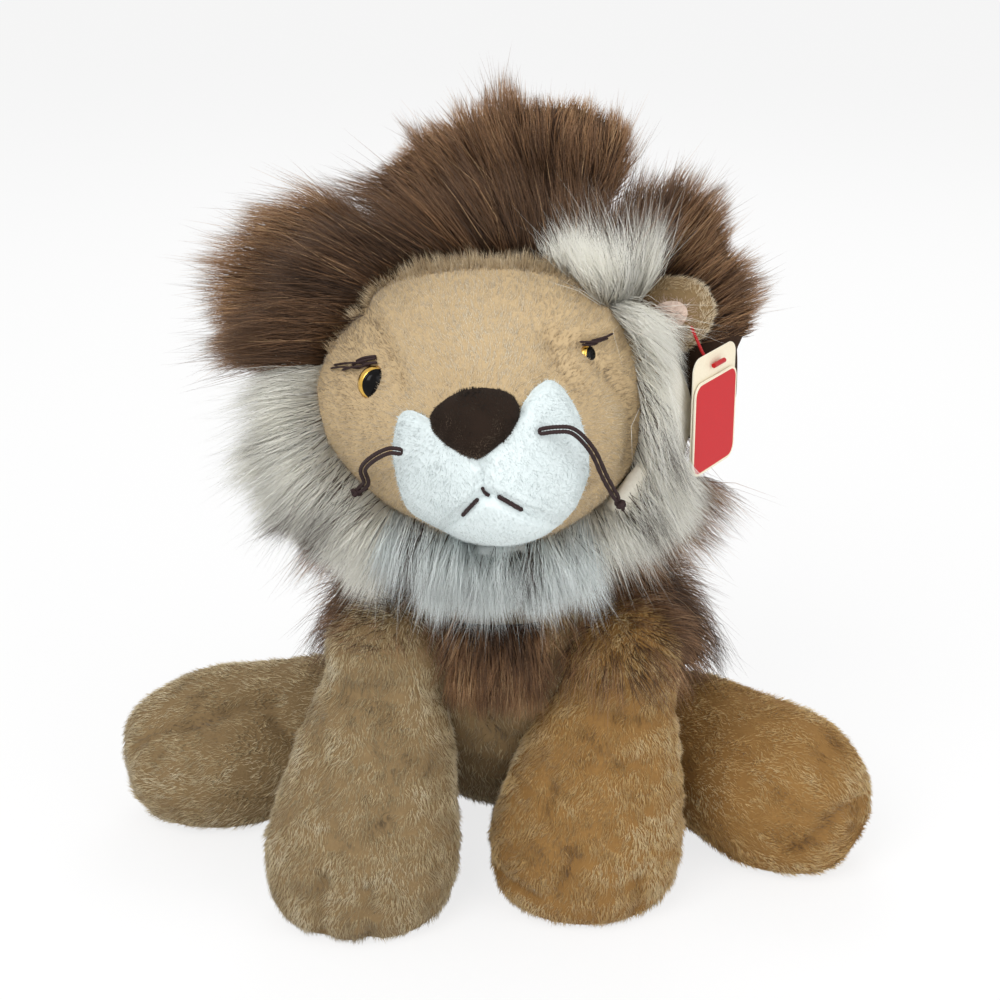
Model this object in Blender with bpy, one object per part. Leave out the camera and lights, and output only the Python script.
# Plush lion, sitting: stuffed skins, long-haired mane and ruff, face, legs, tail and swing tag.
# Lengths are metres, +Z is up, and the lion looks along -Y with its head tipped back.
# Left and right are the viewer's, who faces the lion.

import math

import bmesh
import bpy
from mathutils import Matrix, Vector
from mathutils.bvhtree import BVHTree

# Cloth, clearances and how the toy lies on a surface
SKIN_THICKNESS = 0.0020
SEAM_GAP = 0.0003
SWING_GAP = 0.0010
FLOOR_PRESS = 0.0005
FLOOR_SAG = 0.010
CUT_REACH = 0.40

# Body: its spine runs from the neck down and back to the rump
BODY_WIDTH = 0.124
BODY_DEPTH = 0.104
BODY_NECK = (-0.002, 0.010, 0.146)
BODY_RUMP = (0.020, 0.094, -0.012)
body_spine_shares = (
    (0.0, 0.0, 0.0),
    (0.06, 0.02, 0.16),
    (0.30, 0.34, 0.40),
    (0.65, 0.72, 0.66),
    (1.0, 1.0, 1.0),
)
body_girth_shares = ((0.20, 0.22), (0.37, 0.36), (0.46, 0.47), (0.52, 0.52), (0.44, 0.46))
PELLET_BAG_WIDTH = 0.076
PELLET_BAG_DEPTH = 0.060
PELLET_BAG_HEIGHT = 0.030
pellet_bag_place_shares = (0.80, 0.72)

# Neck: a firm ball of fibre that the body and the head both sit on
NECK_PIVOT = (-0.002, 0.008, 0.141)
NECK_RADIUS = 0.026
HEAD_NOD_DEG = 6.0

# Head, in its own frame: X to the viewer's right, -Y out of the face, Z up
HEAD_CENTRE = (-0.002, -0.004, 0.206)
HEAD_ROLL_DEG = -8.0
HEAD_PITCH_DEG = -15.0
HEAD_YAW_DEG = -2.0
HEAD_WIDTH = 0.122
HEAD_DEPTH = 0.104
HEAD_HEIGHT = 0.102
SNOUT_LENGTH = 0.022
snout_spread_shares = (0.50, 0.52)
SNOUT_DROP_SHARE = 0.26

# Nose, cheek pads and chin: width, thickness, height, then bearing and lift on the face in degrees
NOSE_SIZE = (0.031, 0.015, 0.025)
NOSE_PLACE_DEG = (0.0, -4.0)
CHEEK_SIZE = (0.037, 0.024, 0.052)
CHEEK_PLACE_DEG = (22.0, -21.0)
CHEEK_LEAN_DEG = 14.0
CHIN_SIZE = (0.042, 0.022, 0.022)
CHIN_PLACE_DEG = (0.0, -52.0)

# Safety eyes
EYE_DIAMETER = 0.012
EYE_DOME = 0.0046
EYE_SHANK_RADIUS = 0.0020
EYE_SHANK_LENGTH = 0.0095
EYE_PLACE_DEG = (42.0, 11.5)
WASHER_RADIUS = 0.0055
WASHER_THICKNESS = 0.0014
WASHER_SET_BACK = 0.0016

# Stitches
BROW_STITCH_LENGTH = 0.0150
BROW_STITCH_WIDTH = 0.0030
BROW_STITCH_THICKNESS = 0.0012
BROW_PLACE_DEG = (52.0, 19.0)
MOUTH_THREAD_RADIUS = 0.0008
MOUTH_STEPS = 10
mouth_points_deg = ((-10.0, -31.0), (-6.0, -28.5), (-1.5, -27.5), (3.5, -29.0), (8.5, -32.0))

# Whiskers: each a doubled thread that lies on the cheek and ends in a knot
WHISKER_RADIUS = 0.0015
KNOT_RADIUS = 0.0024
whisker_right_route = (
    (0.0123, -0.0764, 0.2159),
    (0.0182, -0.0765, 0.2168),
    (0.0240, -0.0758, 0.2158),
    (0.0302, -0.0730, 0.2082),
    (0.0352, -0.0640, 0.1950),
    (0.0402, -0.0570, 0.1838),
)
whisker_left_route = (
    (-0.0318, -0.0738, 0.2079),
    (-0.0366, -0.0724, 0.2078),
    (-0.0427, -0.0642, 0.2017),
    (-0.0464, -0.0550, 0.1944),
    (-0.0460, -0.0470, 0.1865),
    (-0.0494, -0.0400, 0.1808),
)

# Ears
EAR_WIDTH = 0.027
EAR_LENGTH = 0.034
EAR_THICKNESS = 0.0080
EAR_CLOCK_DEG = 18.0
EAR_SET_BACK = 0.004
EAR_BURY_SHARE = 0.22
ear_pierce_shares = (0.40, 0.60)
EAR_LINING_WIDTH = 0.018
EAR_LINING_LENGTH = 0.022
EAR_LINING_THICKNESS = 0.0044

# Long hair on the head: how far it stands off the skin, and how thick the coat is front to back
MANE_REACH = 0.047
MANE_DEPTH = 0.040
RUFF_REACH = 0.030
RUFF_DEPTH = 0.027
LOCK_RELIEF = 0.007
LOCK_PITCH_DEG = 13.0
NAPE_REACH = 0.026
HAIR_FLOOR = 0.131
CROWN_FRONT = -0.010
MANE_FRONT = 0.008
RUFF_FRONT = -0.024
TUFT_DEPTH = 0.012
SEAM_SPREAD_DEG = 0.6
NECK_ROOM_HEIGHT = 0.112
NECK_ROOM_RADIUS = 0.046

# Legs
FRONT_LEG_BALL = 0.024
FRONT_PAW_WIDTH = 0.076
FRONT_LEFT_SHOULDER = (-0.042, -0.004, 0.099)
FRONT_LEFT_PAW = (-0.058, -0.030, -0.010)
FRONT_RIGHT_SHOULDER = (0.045, -0.002, 0.096)
FRONT_RIGHT_PAW = (0.028, -0.017, -0.010)
front_leg_girth_shares = ((0.30, 0.30), (0.37, 0.34), (0.43, 0.38), (0.50, 0.42), (0.50, 0.42))
HIND_LEG_BALL = 0.024
HIND_PAW_WIDTH = 0.068
HIND_LEFT_HIP = (-0.034, 0.076, 0.034)
HIND_LEFT_PAW = (-0.153, 0.042, 0.027)
HIND_RIGHT_HIP = (0.060, 0.068, 0.034)
HIND_RIGHT_PAW = (0.138, -0.003, 0.025)
hind_leg_girth_shares = ((0.34, 0.34), (0.42, 0.42), (0.44, 0.44), (0.49, 0.49), (0.43, 0.45))
SOLE_SET_BACK = 0.012
LEG_MOUTH_SHARE = 0.60
FRONT_SWING_DEG = 45.0
HIND_LEFT_SWING_DEG = (-18.0, 18.0)
HIND_RIGHT_SWING_DEG = (-9.0, 18.0)

# Tail
TAIL_ROOT = (0.018, 0.116, 0.0115)
TAIL_RADIUS = 0.0095
TAIL_BALL = 0.0095
tail_route = ((0.018, 0.116, 0.0115), (0.024, 0.138, 0.0095), (0.014, 0.158, 0.0090), (-0.008, 0.166, 0.0090))
TUFT_TIP = (-0.052, 0.156, 0.0150)
TUFT_WIDTH = 0.030
tuft_spine_shares = (-0.30, 0.40, 1.0)
tuft_girth_shares = (0.80, 1.0, 0.30)
TAIL_SWING_DEG = 20.0

# Hair on the body
CAPE_REACH = 0.020
CAPE_FLOOR = 0.072
CAPE_FRONT_LEAN_SHARE = 0.45
CHEST_REACH = 0.010
CHEST_FLOOR = 0.086
CHEST_WIDTH = 0.042
BODY_HAIR_TOP = 0.124

# Swing tag of two leaves, and the label in the rump's seam
TAG_WIDTH = 0.032
TAG_HEIGHT = 0.044
TAG_CORNER = 0.005
TAG_LEAF = 0.0006
TAG_HEADER = 0.009
TAG_HOLE_RADIUS = 0.0020
TAG_HOLE_DROP = 0.0045
TAG_HOLE = (0.0760, -0.0130, 0.2190)
TAG_FACING_DEG = 57.0
TAG_SWING_DEG = 15.0
TAG_CLEARANCE = 0.0040
FASTENER_RADIUS = 0.0006
FASTENER_BAR = 0.0080
FASTENER_STEM = 0.0032
FASTENER_BAR_RADIUS = 0.0009
LABEL_WIDTH = 0.012
LABEL_LENGTH = 0.020
LABEL_THICKNESS = 0.0008
LABEL_PLACE_DEG = (118.0, 2.0)
LABEL_HEIGHT_SHARE = 0.72

# Counts of rings and segments
BODY_RINGS, BODY_SEGMENTS = 12, 14
HEAD_RINGS, HEAD_SEGMENTS = 12, 16
NAPE_RINGS, NAPE_SEGMENTS = 10, 14
LEG_RINGS, LEG_SEGMENTS = 10, 10
TAIL_RINGS, TAIL_SEGMENTS = 9, 8
BALL_RINGS, BALL_SEGMENTS = 7, 14
NECK_RINGS, NECK_SEGMENTS = 10, 18
PAD_RINGS, PAD_SEGMENTS = 8, 10
KNOT_RINGS, KNOT_SEGMENTS = 5, 6
HAIR_SEGMENTS = 6
LOCK_RINGS = 2
SWEEP_STEPS = 5

# How square the ends of a drawn-out form are: 2 is a plain ellipse
BLUNT_BODY = 2.3
BLUNT_LEG = 2.7
BLUNT_TAIL = 3.2
BLUNT_HAIR = 4.0

GOLDEN = ((0.60, 0.42, 0.23), 0.95, 0.0)
CREAM = ((0.86, 0.82, 0.72), 0.95, 0.0)
WHITE = ((0.90, 0.92, 0.93), 0.95, 0.0)
BROWN = ((0.20, 0.10, 0.05), 0.90, 0.0)
DARK = ((0.045, 0.025, 0.02), 0.90, 0.0)
FIBRE = ((0.92, 0.92, 0.90), 1.0, 0.0)
GOLD = ((0.70, 0.45, 0.08), 0.15, 0.0)
PINKISH = ((0.86, 0.74, 0.66), 0.95, 0.0)
BLACK = ((0.02, 0.02, 0.02), 0.6, 0.0)
RED_CARD = ((0.75, 0.05, 0.06), 0.35, 0.0)
CREAM_CARD = ((0.90, 0.86, 0.74), 0.60, 0.0)
SATIN = ((0.92, 0.92, 0.90), 0.45, 0.0)


def clear_scene():
    for obj in list(bpy.data.objects):
        bpy.data.objects.remove(obj)


def new_collection(name):
    collection = bpy.data.collections.new(name)
    bpy.context.scene.collection.children.link(collection)
    return collection


clear_scene()
LION = new_collection("plush_lion")
CUTTERS = new_collection("cutters")


def add_mesh_object(name, bm, collection=CUTTERS):
    # Faces are turned outwards, and made triangles so that a copy inside it bends at the same edges.
    bm.normal_update()
    bmesh.ops.recalc_face_normals(bm, faces=bm.faces)
    bmesh.ops.triangulate(bm, faces=bm.faces)
    mesh = bpy.data.meshes.new(name)
    bm.to_mesh(mesh)
    bm.free()
    obj = bpy.data.objects.new(name, mesh)
    collection.objects.link(obj)
    if collection is CUTTERS:
        obj.hide_render = True
        obj.display_type = "WIRE"
    return obj


def add_empty(name, place, parent=None):
    # The place is in the whole lion's frame; a joint's empty is not turned.
    empty = bpy.data.objects.new(name, None)
    LION.objects.link(empty)
    empty.location = Vector(place) - (parent.matrix_world.translation if parent is not None else Vector())
    empty.parent = parent
    bpy.context.view_layer.update()
    return empty


def finish_piece(obj, name, look, parent):
    # Names the finished shape, gives it its own material and hangs it on its joint's empty.
    CUTTERS.objects.unlink(obj)
    LION.objects.link(obj)
    obj.name = name
    obj.data.name = name
    obj.hide_render = False
    obj.display_type = "TEXTURED"
    colour, roughness, metallic = look
    material = bpy.data.materials.new(name)
    material.use_nodes = True
    shader = material.node_tree.nodes["Principled BSDF"]
    shader.inputs["Base Color"].default_value = (*colour, 1.0)
    shader.inputs["Roughness"].default_value = roughness
    shader.inputs["Metallic"].default_value = metallic
    obj.data.materials.clear()
    obj.data.materials.append(material)
    obj.data.shade_smooth()
    world = obj.matrix_world.copy()
    obj.parent = parent
    obj.matrix_parent_inverse = parent.matrix_world.inverted()
    obj.matrix_world = world
    return obj


def apply_modifiers(obj):
    bpy.context.view_layer.update()
    graph = bpy.context.evaluated_depsgraph_get()
    mesh = bpy.data.meshes.new_from_object(obj.evaluated_get(graph))
    obj.modifiers.clear()
    obj.data = mesh


def boolean(obj, other, operation):
    step = obj.modifiers.new(operation.lower(), "BOOLEAN")
    step.operation = operation
    step.solver = "EXACT"
    step.object = other
    apply_modifiers(obj)
    return obj


def cut(obj, *others):
    for other in others:
        boolean(obj, other, "DIFFERENCE")
    return obj


def copy_of(obj, name, distance=0.0, turn=None):
    # A copy whose surface lies that distance outside the first one, or inside it if negative.
    bm = bmesh.new()
    bm.from_mesh(obj.data)
    bm.normal_update()
    shift = {v: v.normal * distance for v in bm.verts}
    for v, step in shift.items():
        v.co += step
    mesh = bpy.data.meshes.new(name)
    bm.to_mesh(mesh)
    bm.free()
    twin = bpy.data.objects.new(name, mesh)
    CUTTERS.objects.link(twin)
    twin.hide_render = True
    twin.display_type = "WIRE"
    twin.matrix_world = (turn if turn is not None else Matrix()) @ obj.matrix_world
    bpy.context.view_layer.update()
    return twin


def turn_about(pivot, axis, degrees):
    pivot = Vector(pivot)
    return (
        Matrix.Translation(pivot)
        @ Matrix.Rotation(math.radians(degrees), 4, Vector(axis))
        @ Matrix.Translation(-pivot)
    )


def blend_points(points, t):
    # Catmull-Rom through the points, t from 0 to 1.
    last = len(points) - 1
    place = min(max(t, 0.0), 1.0) * last
    i = min(int(place), last - 1)
    f = place - i
    before, start, end, after = (Vector(points[min(max(k, 0), last)]) for k in (i - 1, i, i + 1, i + 2))
    return 0.5 * (
        2 * start
        + (end - before) * f
        + (2 * before - 5 * start + 4 * end - after) * f**2
        + (3 * start - before - 3 * end + after) * f**3
    )


def soft_form(name, spine, girths, across, rings, segments, bluntness):
    # A sphere drawn out along a spine: girths are half width and half depth at the spine's points.
    bm = bmesh.new()
    bmesh.ops.create_uvsphere(bm, u_segments=segments, v_segments=rings, radius=1.0)
    nudge_share = 0.01
    for v in bm.verts:
        along = min(max(v.co.z, -1.0), 1.0)
        t = (1.0 - along) / 2.0
        round_off = max(0.0, 1.0 - abs(along) ** bluntness) ** (1.0 / bluntness)
        turn = math.atan2(v.co.y, v.co.x)
        centre = blend_points(spine, t)
        before, after = blend_points(spine, t - nudge_share), blend_points(spine, t + nudge_share)
        ahead = (after - before).normalized()
        side = Vector(across) - ahead * Vector(across).dot(ahead)
        side.normalize()
        depth_way = ahead.cross(side)
        half = blend_points(girths, t)
        width, depth = half[0] * round_off, half[1] * round_off
        v.co = centre + side * width * math.cos(turn) + depth_way * depth * math.sin(turn)
    return add_mesh_object(name, bm)


def ellipsoid(name, size, place, facing=None, rings=PAD_RINGS, segments=PAD_SEGMENTS):
    # size is width, thickness and height; its thickness runs along the way it faces.
    bm = bmesh.new()
    bmesh.ops.create_uvsphere(bm, u_segments=segments, v_segments=rings, radius=0.5)
    turn = facing if facing is not None else Matrix()
    matrix = Matrix.Translation(Vector(place)) @ turn @ Matrix.Diagonal((*size, 1.0))
    bmesh.ops.transform(bm, matrix=matrix, verts=bm.verts)
    return add_mesh_object(name, bm)


def ball(name, centre, radius, axis, rings=BALL_RINGS, segments=BALL_SEGMENTS):
    # Its pole lies on the axis, so that its rings stay in line with the socket's as it turns.
    bm = bmesh.new()
    bmesh.ops.create_uvsphere(bm, u_segments=segments, v_segments=rings, radius=radius)
    turn = Vector((0, 0, 1)).rotation_difference(Vector(axis)).to_matrix().to_4x4()
    bmesh.ops.transform(bm, matrix=Matrix.Translation(Vector(centre)) @ turn, verts=bm.verts)
    return add_mesh_object(name, bm)


def socket_radius(radius, segments=BALL_SEGMENTS):
    # A faceted socket in which a faceted ball turns about their pole without touching.
    return (radius + SEAM_GAP) / math.cos(math.pi / segments)


def neck_ball(name, radius):
    return ball(name, NECK_PIVOT, radius, (0, 0, 1), NECK_RINGS, NECK_SEGMENTS)


def nod_socket_radius():
    # The head's socket nods a little across the pole, so its facets stay near the ball's own.
    nod = math.radians(HEAD_NOD_DEG)
    share = 1.0
    for half_facet in (math.pi / NECK_SEGMENTS, math.pi / (2.0 * NECK_RINGS)):
        share *= math.cos(half_facet) / math.cos(half_facet - nod)
    return (NECK_RADIUS + SEAM_GAP) / share


def rod(name, start, end, radius, segments=PAD_SEGMENTS):
    start, end = Vector(start), Vector(end)
    bm = bmesh.new()
    bmesh.ops.create_cone(
        bm, cap_ends=True, segments=segments, radius1=radius, radius2=radius, depth=(end - start).length
    )
    turn = Vector((0, 0, 1)).rotation_difference(end - start).to_matrix().to_4x4()
    bmesh.ops.transform(bm, matrix=Matrix.Translation((start + end) / 2.0) @ turn, verts=bm.verts)
    return add_mesh_object(name, bm)


def box(name, low, high):
    low, high = Vector(low), Vector(high)
    bm = bmesh.new()
    bmesh.ops.create_cube(bm, size=1.0)
    matrix = Matrix.Translation((low + high) / 2.0) @ Matrix.Diagonal((*(high - low), 1.0))
    bmesh.ops.transform(bm, matrix=matrix, verts=bm.verts)
    return add_mesh_object(name, bm)


def slice_off(obj, point, away):
    # Removes what lies beyond the plane on the side that "away" points to, and closes the cut flat.
    bm = bmesh.new()
    bm.from_mesh(obj.data)
    local = obj.matrix_world.inverted()
    place = local @ Vector(point)
    normal = (local.to_3x3() @ Vector(away)).normalized()
    geometry = list(bm.verts) + list(bm.edges) + list(bm.faces)
    bmesh.ops.bisect_plane(bm, geom=geometry, plane_co=place, plane_no=normal, clear_outer=True)
    rim = [e for e in bm.edges if e.is_boundary]
    bmesh.ops.holes_fill(bm, edges=rim, sides=0)
    bmesh.ops.recalc_face_normals(bm, faces=bm.faces)
    bm.to_mesh(obj.data)
    bm.free()
    return obj


def cut_beyond(obj, point, away):
    # The same for a shell, whose wall the plane crosses: the cut leaves a ring.
    point, away = Vector(point), Vector(away).normalized()
    half = CUT_REACH / 2.0
    block = box("block", (-half, -half, 0), (half, half, CUT_REACH))
    turn = Vector((0, 0, 1)).rotation_difference(away).to_matrix().to_4x4()
    block.data.transform(Matrix.Translation(point) @ turn)
    return cut(obj, block)


def settle(obj):
    # Lets the underside sag onto the floor, so that it dips below it by the press and no more.
    lowest = min(v.co.z for v in obj.data.vertices)
    for v in obj.data.vertices:
        if v.co.z < FLOOR_SAG:
            share = (FLOOR_SAG - v.co.z) / (FLOOR_SAG - lowest)
            v.co.z = FLOOR_SAG - (FLOOR_SAG + FLOOR_PRESS) * (2.0 * share - share * share)
    obj.data.update()
    return obj


def sit_flat(obj):
    return slice_off(obj, (0, 0, 0), (0, 0, -1))


def skin_of(solid, core, *mouths):
    # The cloth between the outer form and its inner one, open where the mouths cut it.
    skin = copy_of(solid, "skin")
    cut(skin, core, *mouths)
    return skin


def build_body():
    neck, rump = Vector(BODY_NECK), Vector(BODY_RUMP)
    drop = rump - neck
    spine = [neck + Vector((drop[0] * a, drop[1] * b, drop[2] * c)) for a, b, c in body_spine_shares]
    girths = [(BODY_WIDTH * a, BODY_DEPTH * b, 0.0) for a, b in body_girth_shares]
    form = soft_form("body_form", spine, girths, (1, 0, 0), BODY_RINGS, BODY_SEGMENTS, BLUNT_BODY)
    settle(form)
    return form


def limb_form(name, root, tip, girths, paw_width, across):
    # The spine runs from inside the ball at the root to the paw's end.
    root, tip = Vector(root), Vector(tip)
    spine = [root.lerp(tip, k / (len(girths) - 1)) for k in range(len(girths))]
    half = [(paw_width * a, paw_width * b, 0.0) for a, b in girths]
    form = soft_form(name, spine, half, across, LEG_RINGS, LEG_SEGMENTS, BLUNT_LEG)
    return settle(form)


def limb_solid(name, form, inset, body, pivot, axis, ball_radius, swings):
    # The limb's form cut back wherever it would meet the body as it swings, then joined to its ball.
    solid = copy_of(form, name, -inset)
    for angle in swings:
        cut(solid, copy_of(body, "swept_body", SWING_GAP + inset, turn_about(pivot, axis, -angle)))
    return boolean(solid, ball("ball", pivot, ball_radius - inset, axis), "UNION")


def build_limb(side_name, form, body, pivot, axis, ball_radius, swings, inward):
    solid = limb_solid(side_name, form, 0.0, body, pivot, axis, ball_radius, swings)
    sit_flat(solid)
    core = limb_solid("core", form, SKIN_THICKNESS, body, pivot, axis, ball_radius, swings)
    reach = Vector(inward).normalized() * ball_radius
    mouth = rod("mouth", pivot, Vector(pivot) + 2.0 * reach, ball_radius * LEG_MOUTH_SHARE)
    skin = skin_of(solid, core, mouth)
    filling = limb_solid("filling", form, SKIN_THICKNESS + SEAM_GAP, body, pivot, axis, ball_radius, swings)
    return skin, filling, solid


def build_head_form():
    bm = bmesh.new()
    bmesh.ops.create_uvsphere(bm, u_segments=HEAD_SEGMENTS, v_segments=HEAD_RINGS, radius=1.0)
    wide, high = snout_spread_shares
    for v in bm.verts:
        out = v.co.normalized()
        place = Vector((out.x * HEAD_WIDTH, out.y * HEAD_DEPTH, out.z * HEAD_HEIGHT)) / 2.0
        if out.y < 0.0:
            off_axis = (out.x / wide) ** 2 + ((out.z + SNOUT_DROP_SHARE) / high) ** 2
            place.y -= SNOUT_LENGTH * math.exp(-off_axis)
        v.co = place
    form = add_mesh_object("head_form", bm)
    form.matrix_world = HEAD_FRAME
    bpy.context.view_layer.update()
    return form


def way(bearing_deg, lift_deg):
    # Unit vector in the head's frame: bearing from straight ahead towards +X, lift upwards.
    bearing, lift = math.radians(bearing_deg), math.radians(lift_deg)
    return Vector((math.sin(bearing) * math.cos(lift), -math.cos(bearing) * math.cos(lift), math.sin(lift)))


def face_point(tree, bearing_deg, lift_deg, height=0.0):
    # The point on the outermost surface there, raised along the surface's normal, and the normal.
    out = way(bearing_deg, lift_deg)
    point, normal, _, _ = tree.ray_cast(out * HEAD_DEPTH * 2.0, -out)
    return point + normal * height, normal


def face_tree(*objects):
    # All the objects are in the head's frame.
    vertices, faces = [], []
    for obj in objects:
        first = len(vertices)
        vertices += [v.co.copy() for v in obj.data.vertices]
        faces += [[first + i for i in p.vertices] for p in obj.data.polygons]
    return BVHTree.FromPolygons(vertices, faces)


def facing_turn(normal, lean_deg=0.0):
    # Y runs into the face along the normal, Z stays as near to up as it can.
    back = -normal.normalized()
    side = back.cross(Vector((0, 0, 1))).normalized()
    up = side.cross(back)
    turn = Matrix((side, back, up)).transposed().to_4x4()
    return turn @ Matrix.Rotation(math.radians(lean_deg), 4, "Y")


def in_head(obj):
    obj.matrix_world = HEAD_FRAME
    bpy.context.view_layer.update()
    return obj


def face_pad(name, tree, size, place_deg, lean_deg=0.0):
    point, normal = face_point(tree, *place_deg)
    return in_head(ellipsoid(name, size, point, facing_turn(normal, lean_deg)))


def build_eye(tree, around, sign):
    point, normal = face_point(tree, sign * EYE_PLACE_DEG[0], EYE_PLACE_DEG[1])
    seat = point + normal * SEAM_GAP
    radius = EYE_DIAMETER / 2.0
    dome = ellipsoid("dome", (EYE_DIAMETER, 2.0 * EYE_DOME, EYE_DIAMETER), seat, facing_turn(normal))
    slice_off(dome, seat, -normal)
    in_head(dome)
    cut(dome, around)
    dome.matrix_world = Matrix()
    shank = rod("shank", seat + normal * EYE_DOME / 2.0, seat - normal * EYE_SHANK_LENGTH, EYE_SHANK_RADIUS)
    boolean(dome, shank, "UNION")
    front = point - normal * (SKIN_THICKNESS + WASHER_SET_BACK)
    back = front - normal * WASHER_THICKNESS
    washer = rod("washer", front, back, WASHER_RADIUS)
    bore = rod("bore", seat, seat - normal * 2.0 * EYE_SHANK_LENGTH, EYE_SHANK_RADIUS + SEAM_GAP)
    cut(washer, bore)
    # The washer lies flat against the skin, which is hollowed wherever it curves in to meet it.
    seat_room = rod("seat_room", front + normal * SEAM_GAP, back, WASHER_RADIUS + SEAM_GAP)
    depth = EYE_SHANK_LENGTH + SEAM_GAP
    pocket = rod("pocket", seat + normal * radius, seat - normal * depth, WASHER_RADIUS + SEAM_GAP)
    return [in_head(piece) for piece in (dome, washer, bore, seat_room, pocket)]


def hair_reach(angle_deg, table):
    # The share of the full reach at a clock angle, read from a table of (angle, share).
    for (a, low), (b, high) in zip(table, table[1:]):
        if a <= angle_deg <= b:
            return low + (high - low) * (angle_deg - a) / (b - a)
    return table[-1][1]


def hair_arc(name, start_deg, end_deg, reach, reach_table, front, depth):
    # A mass of hair round the head from one clock angle to another, counted from +X towards up.
    # Its outer edge breaks into locks.
    span = end_deg - start_deg
    count = max(2, round(span / LOCK_PITCH_DEG))
    rings = LOCK_RINGS * count + 1
    bury_share = 0.28
    bm = bmesh.new()
    bmesh.ops.create_uvsphere(bm, u_segments=HAIR_SEGMENTS, v_segments=rings, radius=1.0)
    theta_of = {v: math.acos(min(max(v.co.z, -1.0), 1.0)) for v in bm.verts}
    for v in bm.verts:
        t = theta_of[v] / math.pi
        round_off = max(0.0, 1.0 - abs(2.0 * t - 1.0) ** BLUNT_HAIR) ** (1.0 / BLUNT_HAIR)
        clock = math.radians(start_deg + span * t)
        turn = math.atan2(v.co.y, v.co.x)
        head_half = Vector((HEAD_WIDTH * math.cos(clock), HEAD_HEIGHT * math.sin(clock))).length / 2.0
        hair = reach * hair_reach(start_deg + span * t, reach_table)
        inner = head_half * (1.0 - bury_share)
        middle = (inner + head_half + hair) / 2.0
        half = (head_half + hair - inner) / 2.0 * round_off
        outwards = math.cos(turn)
        relief = -LOCK_RELIEF / 2.0 * math.cos(2.0 * math.pi * count * t) * max(0.0, outwards)
        radius = middle + half * outwards + relief * round_off
        place_y = front + depth / 2.0 + depth / 2.0 * round_off * math.sin(turn)
        v.co = (radius * math.cos(clock), place_y, radius * math.sin(clock))
    return in_head(add_mesh_object(name, bm))


def tag_frame():
    # X runs across the tag away from its spine, Y in towards the toy, Z up, from the hole's middle.
    return Matrix.Translation(Vector(TAG_HOLE)) @ Matrix.Rotation(math.radians(TAG_FACING_DEG), 4, "Z")


def card_leaf(name, top, bottom, face, thickness):
    # A flat rounded leaf in the tag's frame; "face" is where its outer side lies along Y.
    high_x = TAG_WIDTH / 2.0 - TAG_CORNER
    low_x = -high_x
    corner_steps = 3
    bm = bmesh.new()
    corners = (
        (high_x, top - TAG_CORNER, 0.0),
        (low_x, top - TAG_CORNER, 90.0),
        (low_x, bottom + TAG_CORNER, 180.0),
        (high_x, bottom + TAG_CORNER, 270.0),
    )
    outline = []
    for x, z, first in corners:
        for k in range(corner_steps + 1):
            angle = math.radians(first + 90.0 * k / corner_steps)
            place = (x + TAG_CORNER * math.cos(angle), face, z + TAG_CORNER * math.sin(angle))
            outline.append(bm.verts.new(place))
    leaf = bm.faces.new(outline)
    solid = bmesh.ops.extrude_face_region(bm, geom=[leaf])
    moved = [g for g in solid["geom"] if isinstance(g, bmesh.types.BMVert)]
    bmesh.ops.translate(bm, verts=moved, vec=(0.0, thickness, 0.0))
    obj = add_mesh_object(name, bm)
    obj.matrix_world = TAG_FRAME
    bpy.context.view_layer.update()
    return obj


def tube(name, points, radius, parent_frame=None):
    # A thin tube along a smooth line through the points, made a closed mesh.
    curve = bpy.data.curves.new(name, "CURVE")
    curve.dimensions = "3D"
    curve.bevel_depth = radius
    curve.bevel_resolution = 1
    curve.use_fill_caps = True
    length = sum((Vector(b) - Vector(a)).length for a, b in zip(points, points[1:]))
    steps = max(len(points), int(length / (4.0 * radius)))
    spline = curve.splines.new("POLY")
    spline.points.add(steps)
    for k in range(steps + 1):
        spline.points[k].co = (*blend_points(points, k / steps), 1.0)
    maker = bpy.data.objects.new(name, curve)
    CUTTERS.objects.link(maker)
    bpy.context.view_layer.update()
    graph = bpy.context.evaluated_depsgraph_get()
    mesh = bpy.data.meshes.new_from_object(maker.evaluated_get(graph))
    bpy.data.objects.remove(maker)
    bm = bmesh.new()
    bm.from_mesh(mesh)
    weld_share = 0.02
    bmesh.ops.remove_doubles(bm, verts=bm.verts, dist=radius * weld_share)
    obj = add_mesh_object(name, bm)
    if parent_frame is not None:
        obj.matrix_world = parent_frame
        bpy.context.view_layer.update()
    return obj


HEAD_FRAME = (
    Matrix.Translation(Vector(HEAD_CENTRE))
    @ Matrix.Rotation(math.radians(HEAD_YAW_DEG), 4, "Z")
    @ Matrix.Rotation(math.radians(HEAD_ROLL_DEG), 4, "Y")
    @ Matrix.Rotation(math.radians(HEAD_PITCH_DEG), 4, "X")
)
TAG_FRAME = tag_frame()

# Share of the full reach of the hair at clock angles round the head
mane_reach_shares = (
    (-90.0, 0.50), (-75.0, 0.55), (-30.0, 0.68), (0.0, 0.82), (26.0, 0.95), (62.0, 1.28), (100.0, 1.0),
    (122.0, 0.86), (134.0, 1.10), (170.0, 1.04), (200.0, 0.80), (270.0, 0.50),
)
ruff_reach_shares = (
    (-60.0, 0.80), (-20.0, 0.85), (28.0, 0.80), (60.0, 1.15), (182.0, 1.15), (215.0, 1.15), (240.0, 0.95),
    (305.0, 0.95),
)


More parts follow.
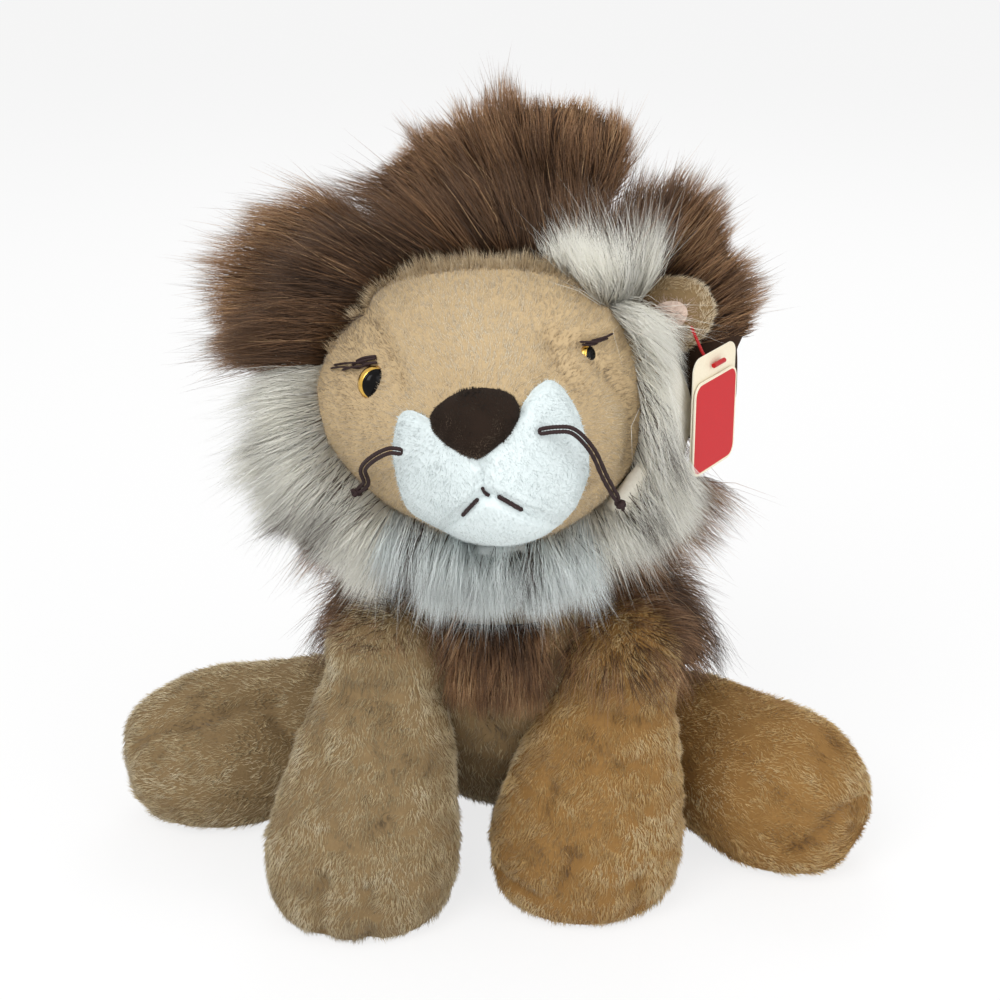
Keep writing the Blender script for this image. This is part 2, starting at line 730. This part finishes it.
def build_legs(body, pivots):
    # Each row: root of the spine and pivot, tip, girths, width, way across, hinge, swings, way to the body.
    front = (front_leg_girth_shares, FRONT_PAW_WIDTH, (1, 0, 0), (1, 0, 0), FRONT_LEG_BALL)
    hind = (hind_leg_girth_shares, HIND_PAW_WIDTH, (0, 1, 0), (0, 0, 1), HIND_LEG_BALL)
    front_swings = (-FRONT_SWING_DEG, 0.0)
    ranges = (HIND_LEFT_SWING_DEG, HIND_RIGHT_SWING_DEG)
    left_swings, right_swings = ((low, 0.0, high) for low, high in ranges)
    rows = {
        "front_leg_left": (FRONT_LEFT_SHOULDER, FRONT_LEFT_PAW, front, front_swings, (1, 0.3, 0)),
        "front_leg_right": (FRONT_RIGHT_SHOULDER, FRONT_RIGHT_PAW, front, front_swings, (-1, 0.3, 0)),
        "hind_leg_left": (HIND_LEFT_HIP, HIND_LEFT_PAW, hind, left_swings, (1, 0, 0)),
        "hind_leg_right": (HIND_RIGHT_HIP, HIND_RIGHT_PAW, hind, right_swings, (-1, 0, 0)),
    }
    solids = {}
    for name, (root, tip, kind, swings, inward) in rows.items():
        girths, width, across, axis, ball_radius = kind
        form = limb_form(name + "_form", root, tip, girths, width, across)
        skin, filling, solid = build_limb(name, form, body, root, axis, ball_radius, swings, inward)
        if name.startswith("hind"):
            seam = Vector(tip) - (Vector(tip) - Vector(root)).normalized() * SOLE_SET_BACK
            outwards = (Vector(tip) - Vector(root)).normalized()
            sole = copy_of(skin, "sole")
            cut_beyond(sole, seam + outwards * SEAM_GAP, -outwards)
            cut_beyond(skin, seam, outwards)
            finish_piece(sole, name.replace("leg", "sole"), GOLDEN, pivots[name])
        finish_piece(skin, name + "_skin", GOLDEN, pivots[name])
        finish_piece(filling, name + "_filling", FIBRE, pivots[name])
        solids[name] = solid
    return solids


def build_body_pieces(body, pivots, origin):
    # The skin with its stuffing and the bag of pellets in the rump.
    core = copy_of(body, "core", -SKIN_THICKNESS)
    sockets = [
        ball("socket", FRONT_LEFT_SHOULDER, socket_radius(FRONT_LEG_BALL), (1, 0, 0)),
        ball("socket", FRONT_RIGHT_SHOULDER, socket_radius(FRONT_LEG_BALL), (1, 0, 0)),
        ball("socket", HIND_LEFT_HIP, socket_radius(HIND_LEG_BALL), (0, 0, 1)),
        ball("socket", HIND_RIGHT_HIP, socket_radius(HIND_LEG_BALL), (0, 0, 1)),
        neck_ball("socket", socket_radius(NECK_RADIUS, NECK_SEGMENTS)),
        ball("socket", TAIL_ROOT, socket_radius(TAIL_BALL), (0, 0, 1)),
    ]
    skin = skin_of(body, core, *sockets)
    sit_flat(skin)
    stuffing = copy_of(body, "stuffing", -SKIN_THICKNESS - SEAM_GAP)
    bag_size = (PELLET_BAG_WIDTH, PELLET_BAG_DEPTH, PELLET_BAG_HEIGHT)
    across, along = pellet_bag_place_shares
    bag_place = (BODY_RUMP[0] * across, BODY_RUMP[1] * along, PELLET_BAG_HEIGHT / 2.0)
    bag = ellipsoid("bag", bag_size, bag_place)
    boolean(bag, stuffing, "INTERSECT")
    cut(bag, *sockets)
    cut(stuffing, copy_of(bag, "bag_room", SEAM_GAP), *sockets)
    finish_piece(skin, "body_skin", GOLDEN, origin)
    finish_piece(stuffing, "body_stuffing", FIBRE, origin)
    finish_piece(bag, "pellet_bag", CREAM, origin)
    finish_piece(neck_ball("neck", NECK_RADIUS), "neck_wad", FIBRE, pivots["neck"])


def build_tail(body, pivots):
    root = Vector(TAIL_ROOT)
    girths = [(TAIL_RADIUS, TAIL_RADIUS, 0.0)] * len(tail_route)
    tail = soft_form("tail", tail_route, girths, (0, 0, 1), TAIL_RINGS, TAIL_SEGMENTS, BLUNT_TAIL)
    settle(tail)
    for angle in (-TAIL_SWING_DEG, 0.0, TAIL_SWING_DEG):
        cut(tail, copy_of(body, "swept_body", SWING_GAP, turn_about(root, (0, 0, 1), -angle)))
    boolean(tail, ball("ball", root, TAIL_BALL, (0, 0, 1)), "UNION")
    end, tip = Vector(tail_route[-1]), Vector(TUFT_TIP)
    spine = [end.lerp(tip, share) for share in tuft_spine_shares]
    girths = [(TUFT_WIDTH / 2.0 * share, TUFT_WIDTH / 2.0 * share, 0.0) for share in tuft_girth_shares]
    tuft = soft_form("tuft", spine, girths, (0, 0, 1), TAIL_RINGS, TAIL_SEGMENTS, BLUNT_BODY)
    settle(tuft)
    cut(tuft, copy_of(tail, "tail_room", SEAM_GAP))
    sit_flat(tail)
    sit_flat(tuft)
    finish_piece(tail, "tail_skin", GOLDEN, pivots["tail"])
    finish_piece(tuft, "tail_tuft", BROWN, pivots["tail"])


def build_body_hair(body, legs, origin):
    # The coat on the back and the patch on the chest, both hugging the body.
    around = copy_of(body, "around", SEAM_GAP)
    shoulders = [
        ball("room", FRONT_LEFT_SHOULDER, socket_radius(FRONT_LEG_BALL) + SWING_GAP, (1, 0, 0)),
        ball("room", FRONT_RIGHT_SHOULDER, socket_radius(FRONT_LEG_BALL) + SWING_GAP, (1, 0, 0)),
    ]
    swept = []
    for name, pivot in (("front_leg_left", FRONT_LEFT_SHOULDER), ("front_leg_right", FRONT_RIGHT_SHOULDER)):
        for step in range(SWEEP_STEPS + 1):
            turn = turn_about(pivot, (1, 0, 0), -FRONT_SWING_DEG * step / SWEEP_STEPS)
            swept.append(copy_of(legs[name], "swept_leg", SWING_GAP, turn))
    cape = copy_of(body, "cape", CAPE_REACH)
    lean = CAPE_FRONT_LEAN_SHARE
    slice_off(cape, (0, NECK_PIVOT[1], BODY_HAIR_TOP), (0, -1, -lean))
    slice_off(cape, (0, 0, BODY_HAIR_TOP), (0, 0, 1))
    slice_off(cape, (0, 0, CAPE_FLOOR), (0, 0, -1))
    cut(cape, around, *shoulders, *swept)
    chest = copy_of(body, "chest", CHEST_REACH)
    slice_off(chest, (0, NECK_PIVOT[1] - 2.0 * SEAM_GAP, BODY_HAIR_TOP), (0, 1, lean))
    slice_off(chest, (0, 0, BODY_HAIR_TOP), (0, 0, 1))
    slice_off(chest, (0, 0, CHEST_FLOOR), (0, 0, -1))
    for sign in (-1.0, 1.0):
        slice_off(chest, (BODY_NECK[0] + sign * CHEST_WIDTH / 2.0, 0, 0), (sign, 0, 0))
    cut(chest, around, *shoulders, *swept)
    finish_piece(cape, "mane_back_coat", BROWN, origin)
    finish_piece(chest, "mane_chest", BROWN, origin)


def build_label(body, origin):
    # A blank folded ribbon that stands out of the rump's seam.
    tree = BVHTree.FromPolygons(
        [v.co.copy() for v in body.data.vertices], [list(p.vertices) for p in body.data.polygons]
    )
    middle = Vector(BODY_NECK).lerp(Vector(BODY_RUMP), LABEL_HEIGHT_SHARE)
    bearing, lift = (math.radians(a) for a in LABEL_PLACE_DEG)
    out = Vector((math.cos(bearing) * math.cos(lift), math.sin(bearing) * math.cos(lift), math.sin(lift)))
    point, normal, _, _ = tree.ray_cast(middle + out * BODY_WIDTH * 2.0, -out)
    start = point + normal * 2.0 * SEAM_GAP
    side = normal.cross(Vector((0, 0, 1))).normalized()
    up = side.cross(normal)
    turn = Matrix((side, normal, up)).transposed().to_4x4()
    label = box("label", (-LABEL_WIDTH / 2.0, 0, 0), (LABEL_WIDTH / 2.0, LABEL_LENGTH, LABEL_THICKNESS))
    label.data.transform(Matrix.Translation(start) @ turn)
    finish_piece(label, "blank_label", SATIN, origin)


def build_head(head_pivot):
    form = build_head_form()
    core = copy_of(form, "core", -SKIN_THICKNESS)
    socket = neck_ball("socket", nod_socket_radius())
    tree = face_tree(form)
    around = copy_of(form, "around", SEAM_GAP)
    skin = skin_of(form, core, socket)
    stuffing = copy_of(form, "stuffing", -SKIN_THICKNESS - SEAM_GAP)
    cut(stuffing, socket)
    for side, sign in (("left", -1.0), ("right", 1.0)):
        eye, washer, bore, seat_room, pocket = build_eye(tree, around, sign)
        cut(skin, bore, seat_room)
        cut(stuffing, pocket)
        finish_piece(eye, "eye_" + side, GOLD, head_pivot)
        finish_piece(washer, "eye_washer_" + side, WHITE, head_pivot)
    finish_piece(skin, "head_skin", GOLDEN, head_pivot)
    finish_piece(stuffing, "head_stuffing", FIBRE, head_pivot)
    return form, tree


def build_face(form, tree, head_pivot):
    around = copy_of(form, "around", SEAM_GAP)
    nose = face_pad("nose", tree, NOSE_SIZE, NOSE_PLACE_DEG)
    cut(nose, around)
    nose_room = copy_of(nose, "nose_room", SEAM_GAP)
    middle = HEAD_FRAME @ Vector((0, 0, 0))
    across = HEAD_FRAME.to_3x3() @ Vector((1, 0, 0))
    cheeks = []
    for side, sign in (("left", -1.0), ("right", 1.0)):
        place = (sign * CHEEK_PLACE_DEG[0], CHEEK_PLACE_DEG[1])
        cheek = face_pad("cheek", tree, CHEEK_SIZE, place, sign * CHEEK_LEAN_DEG)
        cut(cheek, around, nose_room)
        slice_off(cheek, middle + across * sign * SEAM_GAP / 2.0, -across * sign)
        cheeks.append(cheek)
    chin = face_pad("chin", tree, CHIN_SIZE, CHIN_PLACE_DEG)
    cut(chin, around, *(copy_of(cheek, "cheek_room", SEAM_GAP) for cheek in cheeks))
    whole = face_tree(form, *cheeks, chin)
    height = MOUTH_THREAD_RADIUS + 2.0 * SEAM_GAP
    bearings = [blend_points(mouth_points_deg, k / MOUTH_STEPS) for k in range(MOUTH_STEPS + 1)]
    points = [face_point(whole, bearing, lift, height)[0] for bearing, lift in bearings]
    mouth = tube("mouth", points, MOUTH_THREAD_RADIUS, HEAD_FRAME)
    mouth_room = copy_of(mouth, "mouth_room", SEAM_GAP)
    for piece in (*cheeks, chin):
        cut(piece, mouth_room)
    for side, sign in (("left", -1.0), ("right", 1.0)):
        size = (BROW_STITCH_LENGTH, 2.0 * BROW_STITCH_THICKNESS, BROW_STITCH_WIDTH)
        brow = face_pad("brow", tree, size, (sign * BROW_PLACE_DEG[0], BROW_PLACE_DEG[1]))
        cut(brow, around)
        finish_piece(brow, "brow_stitch_" + side, DARK, head_pivot)
    for cheek, side in zip(cheeks, ("left", "right")):
        finish_piece(cheek, "muzzle_" + side, WHITE, head_pivot)
    finish_piece(nose, "nose", DARK, head_pivot)
    finish_piece(chin, "chin", WHITE, head_pivot)
    finish_piece(mouth, "mouth_stitch", BLACK, head_pivot)


def ear_frame(sign):
    # Z runs out along the ear from the head's skin, Y back, X across it.
    clock = math.radians(EAR_CLOCK_DEG)
    out = Vector((sign * math.cos(clock), 0.0, math.sin(clock)))
    head_half = Vector((HEAD_WIDTH * out.x, HEAD_HEIGHT * out.z)).length / 2.0
    base = out * (head_half - EAR_LENGTH * EAR_BURY_SHARE)
    base.y = EAR_SET_BACK
    back = Vector((0, 1, 0))
    side = back.cross(out)
    return Matrix.Translation(base) @ Matrix((side, back, out)).transposed().to_4x4()


def build_ear(form, sign):
    around = copy_of(form, "around", SEAM_GAP)
    frame = ear_frame(sign)
    ear = ellipsoid("ear", (EAR_WIDTH, EAR_THICKNESS, EAR_LENGTH), (0, 0, EAR_LENGTH / 2.0))
    ear.data.transform(frame)
    in_head(ear)
    lining_size = (EAR_LINING_WIDTH, EAR_LINING_THICKNESS, EAR_LINING_LENGTH)
    lining = ellipsoid("lining", lining_size, (0, -EAR_THICKNESS / 2.0, EAR_LENGTH / 2.0))
    lining.data.transform(frame)
    in_head(lining)
    cut(lining, around)
    cut(ear, around, copy_of(lining, "lining_room", SEAM_GAP))
    return ear, lining


def build_hair(form, ears):
    around = copy_of(form, "around", SEAM_GAP)
    neck_room = ball("neck_room", (BODY_NECK[0], BODY_NECK[1], NECK_ROOM_HEIGHT), NECK_ROOM_RADIUS, (0, 0, 1))
    wad_room = neck_ball("wad_room", nod_socket_radius() + SWING_GAP)
    floor = (0, 0, HAIR_FLOOR)
    ear_rooms = [copy_of(ear, "ear_room", SEAM_GAP) for ear in ears]
    sway = TAG_WIDTH / 2.0 + TAG_HEIGHT * math.sin(math.radians(TAG_SWING_DEG))
    slot = box(
        "slot", (-sway, -TAG_HEIGHT, -TAG_HEIGHT), (sway, TAG_CLEARANCE / 2.0, TAG_HOLE_DROP + TAG_CLEARANCE)
    )
    slot.data.transform(TAG_FRAME)
    pieces = {}
    brown = (MANE_REACH, mane_reach_shares, BROWN)
    cream = (RUFF_REACH, ruff_reach_shares, CREAM)
    rows = (
        ("mane_crown", 48.0, 118.0, CROWN_FRONT, MANE_DEPTH, brown),
        ("mane_sweep_left", 118.0, 190.0, MANE_FRONT, MANE_DEPTH, brown),
        ("mane_low_left", 190.0, 252.0, MANE_FRONT, MANE_DEPTH, brown),
        ("mane_right", -28.0, 48.0, MANE_FRONT, MANE_DEPTH, brown),
        ("mane_low_right", -75.0, -28.0, MANE_FRONT, MANE_DEPTH, brown),
        ("ruff_left", 178.0, 236.0, RUFF_FRONT, RUFF_DEPTH, cream),
        ("ruff_bottom", 236.0, 302.0, RUFF_FRONT, RUFF_DEPTH, cream),
        ("ruff_right", -58.0, 28.0, RUFF_FRONT, RUFF_DEPTH, cream),
        ("ruff_tuft", 28.0, 66.0, RUFF_FRONT, TUFT_DEPTH, cream),
    )
    for name, start, end, front, depth, (reach, table, look) in rows:
        half_seam = SEAM_SPREAD_DEG / 2.0
        hair = hair_arc(name, start + half_seam, end - half_seam, reach, table, front, depth)
        cut(hair, around, neck_room, wad_room)
        if min((HEAD_FRAME @ v.co).z for v in hair.data.vertices) < HAIR_FLOOR:
            slice_off(hair, floor, (0, 0, -1))
        pieces[name] = (hair, look)
    size = [side + 2.0 * NAPE_REACH for side in (HEAD_WIDTH, HEAD_DEPTH, HEAD_HEIGHT)]
    nape = ellipsoid("nape", size, (0, 0, 0), None, NAPE_RINGS, NAPE_SEGMENTS)
    in_head(nape)
    back = HEAD_FRAME.to_3x3() @ Vector((0, 1, 0))
    slice_off(nape, HEAD_FRAME @ Vector((0, MANE_FRONT + MANE_DEPTH / 2.0, 0)), -back)
    slice_off(nape, floor, (0, 0, -1))
    cut(nape, around, neck_room, wad_room)
    for name in ("mane_crown", "mane_sweep_left", "mane_low_left", "mane_right", "mane_low_right"):
        cut(nape, copy_of(pieces[name][0], "room", SEAM_GAP))
    pieces["mane_nape"] = (nape, BROWN)
    return pieces, ear_rooms, slot


def build_whiskers(head_pivot):
    for side, route in (("left", whisker_left_route), ("right", whisker_right_route)):
        whisker = tube("whisker", route, WHISKER_RADIUS)
        end = Vector(route[-1])
        ahead = (end - Vector(route[-2])).normalized()
        middle = end + ahead * (KNOT_RADIUS + SEAM_GAP)
        knot = ellipsoid("knot", (2.0 * KNOT_RADIUS,) * 3, middle, None, KNOT_RINGS, KNOT_SEGMENTS)
        finish_piece(whisker, "whisker_" + side, DARK, head_pivot)
        finish_piece(knot, "whisker_knot_" + side, DARK, head_pivot)


def build_tag(ear, head_pivot, tag_pivot, cover_pivot):
    top = TAG_HOLE_DROP
    bottom = TAG_HOLE_DROP - TAG_HEIGHT
    back = card_leaf("tag_back", top, bottom, 0.0, TAG_LEAF)
    hole = rod("hole", (0, -TAG_LEAF, 0), (0, 2.0 * TAG_LEAF, 0), TAG_HOLE_RADIUS)
    hole.matrix_world = TAG_FRAME
    bpy.context.view_layer.update()
    cut(back, hole)
    cover = card_leaf("tag_cover", top - TAG_HEADER, bottom, -SEAM_GAP - TAG_LEAF, TAG_LEAF)
    frame = HEAD_FRAME @ ear_frame(1.0)
    pierce = Vector((EAR_WIDTH * ear_pierce_shares[0], 0.0, EAR_LENGTH * ear_pierce_shares[1]))
    behind = pierce + Vector((0, EAR_THICKNESS / 2.0 + 2.0 * FASTENER_RADIUS, 0))
    before = pierce - Vector((0, EAR_THICKNESS / 2.0 + FASTENER_STEM, 0))
    inner = TAG_FRAME @ Vector((0, FASTENER_STEM, 0))
    outer = TAG_FRAME @ Vector((0, -2.0 * FASTENER_RADIUS - SEAM_GAP, 0))
    line = [frame @ behind, frame @ pierce, frame @ before, inner, outer]
    loop = tube("loop", line, FASTENER_RADIUS)
    half = TAG_FRAME.to_3x3() @ Vector((FASTENER_BAR / 2.0, 0, 0))
    boolean(loop, rod("bar", outer - half, outer + half, FASTENER_BAR_RADIUS), "UNION")
    half = frame.to_3x3() @ Vector((0, 0, FASTENER_BAR / 2.0))
    boolean(loop, rod("bar", frame @ behind - half, frame @ behind + half, FASTENER_BAR_RADIUS), "UNION")
    cut(ear, rod("bore", frame @ behind, frame @ before, FASTENER_RADIUS + 2.0 * SEAM_GAP))
    finish_piece(back, "tag_back", CREAM_CARD, tag_pivot)
    finish_piece(cover, "tag_cover", RED_CARD, cover_pivot)
    return loop


def centre_on_origin(origin):
    # Brings the middle of the lion's footprint to the origin; the whiskers do not count towards it.
    places = []
    for obj in LION.objects:
        if obj.type == "MESH" and not obj.name.startswith("whisker"):
            places += [obj.matrix_world @ v.co for v in obj.data.vertices]
    across = [p.x for p in places]
    along = [p.y for p in places]
    middle = Vector((min(across) + max(across), min(along) + max(along), 0.0)) / 2.0
    origin.location = -middle - Vector((0, 0, min(p.z for p in places)))
    bpy.context.view_layer.update()


def build():
    origin = add_empty("lion_origin", (0, 0, 0))
    pivots = {
        "neck": add_empty("neck_pivot", NECK_PIVOT, origin),
        "front_leg_left": add_empty("front_left_shoulder", FRONT_LEFT_SHOULDER, origin),
        "front_leg_right": add_empty("front_right_shoulder", FRONT_RIGHT_SHOULDER, origin),
        "hind_leg_left": add_empty("hind_left_hip", HIND_LEFT_HIP, origin),
        "hind_leg_right": add_empty("hind_right_hip", HIND_RIGHT_HIP, origin),
        "tail": add_empty("tail_root", TAIL_ROOT, origin),
    }
    head_pivot = add_empty("head_pivot", NECK_PIVOT, pivots["neck"])
    tag_pivot = add_empty("tag_pivot", TAG_HOLE, head_pivot)
    spine = TAG_FRAME @ Vector((-TAG_WIDTH / 2.0, 0, 0))
    cover_pivot = add_empty("tag_spine", spine, tag_pivot)

    body = build_body()
    legs = build_legs(body, pivots)
    build_body_pieces(body, pivots, origin)
    build_tail(body, pivots)
    build_body_hair(body, legs, origin)
    build_label(body, origin)

    form, tree = build_head(head_pivot)
    build_face(form, tree, head_pivot)
    ear_left, lining_left = build_ear(form, -1.0)
    ear_right, lining_right = build_ear(form, 1.0)
    ears = (ear_left, ear_right, lining_left, lining_right)
    hair, ear_rooms, slot = build_hair(form, ears)
    loop = build_tag(ear_right, head_pivot, tag_pivot, cover_pivot)
    loop_room = copy_of(loop, "loop_room", SEAM_GAP)
    for name, (piece, look) in hair.items():
        if name in ("mane_right", "ruff_right"):
            cut(piece, slot, loop_room)
        if name in ("mane_sweep_left", "mane_right", "ruff_right", "ruff_left"):
            cut(piece, *ear_rooms)
        finish_piece(piece, name, look, head_pivot)
    finish_piece(loop, "tag_fastener", RED_CARD, head_pivot)
    finish_piece(ear_left, "ear_left", GOLDEN, head_pivot)
    finish_piece(ear_right, "ear_right", GOLDEN, head_pivot)
    finish_piece(lining_left, "ear_lining_left", PINKISH, head_pivot)
    finish_piece(lining_right, "ear_lining_right", PINKISH, head_pivot)
    build_whiskers(head_pivot)
    for obj in list(CUTTERS.objects):
        bpy.data.objects.remove(obj)
    bpy.data.collections.remove(CUTTERS)
    centre_on_origin(origin)


build()
